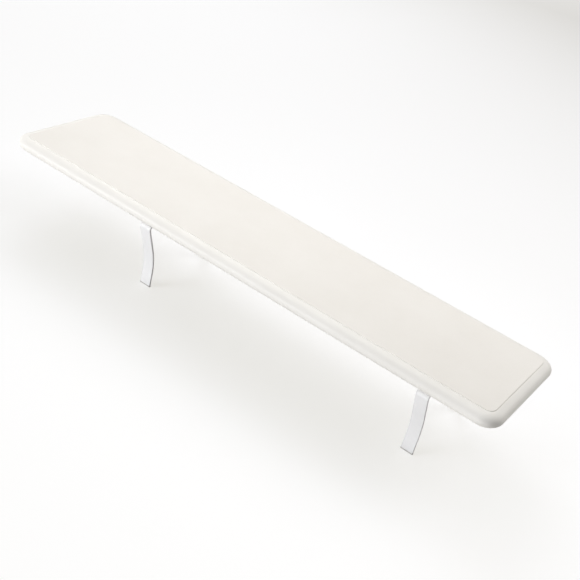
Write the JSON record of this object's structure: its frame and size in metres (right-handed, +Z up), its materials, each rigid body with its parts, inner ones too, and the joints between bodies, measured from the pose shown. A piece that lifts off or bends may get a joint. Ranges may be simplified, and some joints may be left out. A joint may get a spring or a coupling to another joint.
{
  "type": "diving board",
  "caption": "Low diving board: a long plank with half-round edges and an inset non-slip tread, on bent flat-bar stands bolted under it.",
  "frame": {"origin": "on the ground, under the middle of the board", "axes": "+X along the board from the diving tip to the butt end, +Y across it, +Z up"},
  "size_m": [1.83, 0.44, 0.29],
  "materials": {
    "gelcoat": "warm white gel coat on glass fibre, satin",
    "tread": "warm white, fine grit, matte",
    "laminate": "painted glass-fibre laminate, satin",
    "timber": "planed fir, unfinished",
    "paint": "white powder coat on steel, satin",
    "zinc": "bright zinc plate",
    "rubber": "black rubber, matte",
    "pale_rubber": "pale grey rubber, matte"
  },
  "bodies": {
    "root": {"top_shell": "gelcoat", "tread_panel": "tread", "bottom_skin": "laminate", "core_strip_1": "timber", "core_strip_2": "timber", "core_strip_3": "timber", "core_strip_4": "timber", "core_strip_5": "timber", "backing_plate_tip": "zinc", "backing_plate_butt": "zinc", "weld_nut_tip_1": "zinc", "weld_nut_tip_2": "zinc", "weld_nut_tip_3": "zinc", "weld_nut_tip_4": "zinc", "weld_nut_butt_1": "zinc", "weld_nut_butt_2": "zinc", "weld_nut_butt_3": "zinc", "weld_nut_butt_4": "zinc", "stand_tip": "paint", "stand_butt": "paint", "isolator_tip": "rubber", "isolator_butt": "rubber", "bolt_tip_1": "zinc", "bolt_tip_2": "zinc", "bolt_tip_3": "zinc", "bolt_tip_4": "zinc", "bolt_butt_1": "zinc", "bolt_butt_2": "zinc", "bolt_butt_3": "zinc", "bolt_butt_4": "zinc", "spring_washer_tip_1": "zinc", "spring_washer_tip_2": "zinc", "spring_washer_tip_3": "zinc", "spring_washer_tip_4": "zinc", "washer_tip_1": "zinc", "washer_tip_2": "zinc", "washer_tip_3": "zinc", "washer_tip_4": "zinc", "spring_washer_butt_1": "zinc", "spring_washer_butt_2": "zinc", "spring_washer_butt_3": "zinc", "spring_washer_butt_4": "zinc", "washer_butt_1": "zinc", "washer_butt_2": "zinc", "washer_butt_3": "zinc", "washer_butt_4": "zinc", "foot_pad_tip_near": "pale_rubber", "foot_pad_tip_far": "pale_rubber", "foot_pad_butt_near": "pale_rubber", "foot_pad_butt_far": "pale_rubber"}
  },
  "joints": []
}
